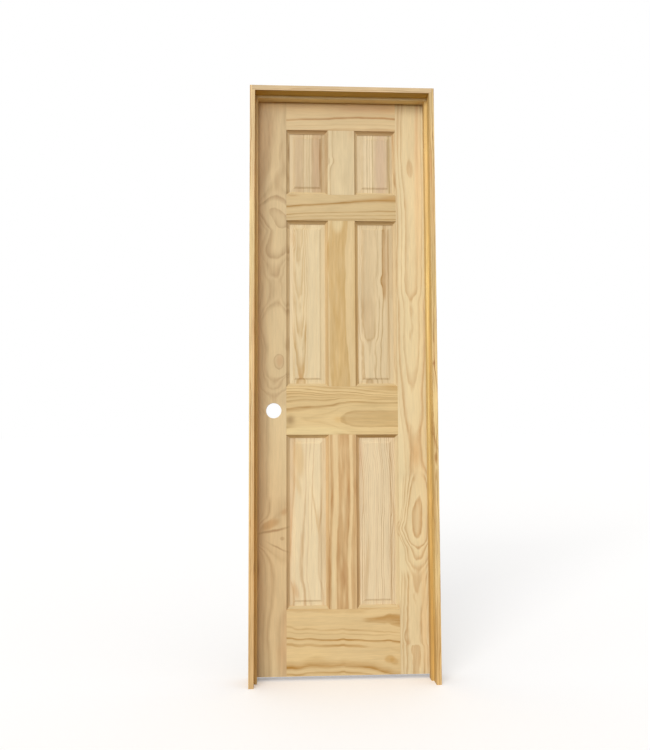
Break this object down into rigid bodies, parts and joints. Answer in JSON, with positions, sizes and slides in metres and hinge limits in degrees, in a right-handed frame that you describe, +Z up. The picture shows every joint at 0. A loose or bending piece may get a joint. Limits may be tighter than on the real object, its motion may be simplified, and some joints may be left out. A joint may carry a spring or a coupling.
{
  "type": "pre-hung six-panel interior door",
  "caption": "Six-panel solid pine interior door leaf hung on butt hinges in its jamb frame with stops, bored for a lock; the leaf swings open.",
  "frame": {"origin": "floor level on the outer face of the hinge jamb, halfway through the jamb's depth", "axes": "+Z up along the jambs, +X out of the hinge jamb's outer face, +Y through the wall towards the side the leaf swings to; the latch side is at -X"},
  "size_m": [0.65, 0.1283, 2.0665],
  "materials": {
    "leaf_pine": "bare sanded pine",
    "panel_pine": "bare sanded pine",
    "jamb_pine": "bare planed pine",
    "hinge_steel": "satin nickel plating"
  },
  "bodies": {
    "door_frame": {"hinge_jamb": "jamb_pine", "latch_jamb": "jamb_pine", "head_jamb": "jamb_pine", "hinge_stop": "jamb_pine", "latch_stop": "jamb_pine", "head_stop": "jamb_pine", "top_hinge_jamb_leaf": "hinge_steel", "top_hinge_pin": "hinge_steel", "middle_hinge_jamb_leaf": "hinge_steel", "middle_hinge_pin": "hinge_steel", "bottom_hinge_jamb_leaf": "hinge_steel", "bottom_hinge_pin": "hinge_steel"},
    "door_leaf": {"latch_stile": "leaf_pine", "hinge_stile": "leaf_pine", "top_rail": "leaf_pine", "frieze_rail": "leaf_pine", "lock_rail": "leaf_pine", "bottom_rail": "leaf_pine", "top_mullion": "leaf_pine", "top_left_panel": "panel_pine", "top_right_panel": "panel_pine", "middle_mullion": "leaf_pine", "middle_left_panel": "panel_pine", "middle_right_panel": "panel_pine", "bottom_mullion": "leaf_pine", "bottom_left_panel": "panel_pine", "bottom_right_panel": "panel_pine", "top_hinge_door_leaf": "hinge_steel", "middle_hinge_door_leaf": "hinge_steel", "bottom_hinge_door_leaf": "hinge_steel"}
  },
  "joints": [
    {"name": "leaf_swing", "type": "hinge", "parent": "door_frame", "child": "door_leaf", "pos_m": [-0.02005, 0.0645, 1.028], "axis": [0, 0, -1], "range_deg": [0, 180]}
  ]
}
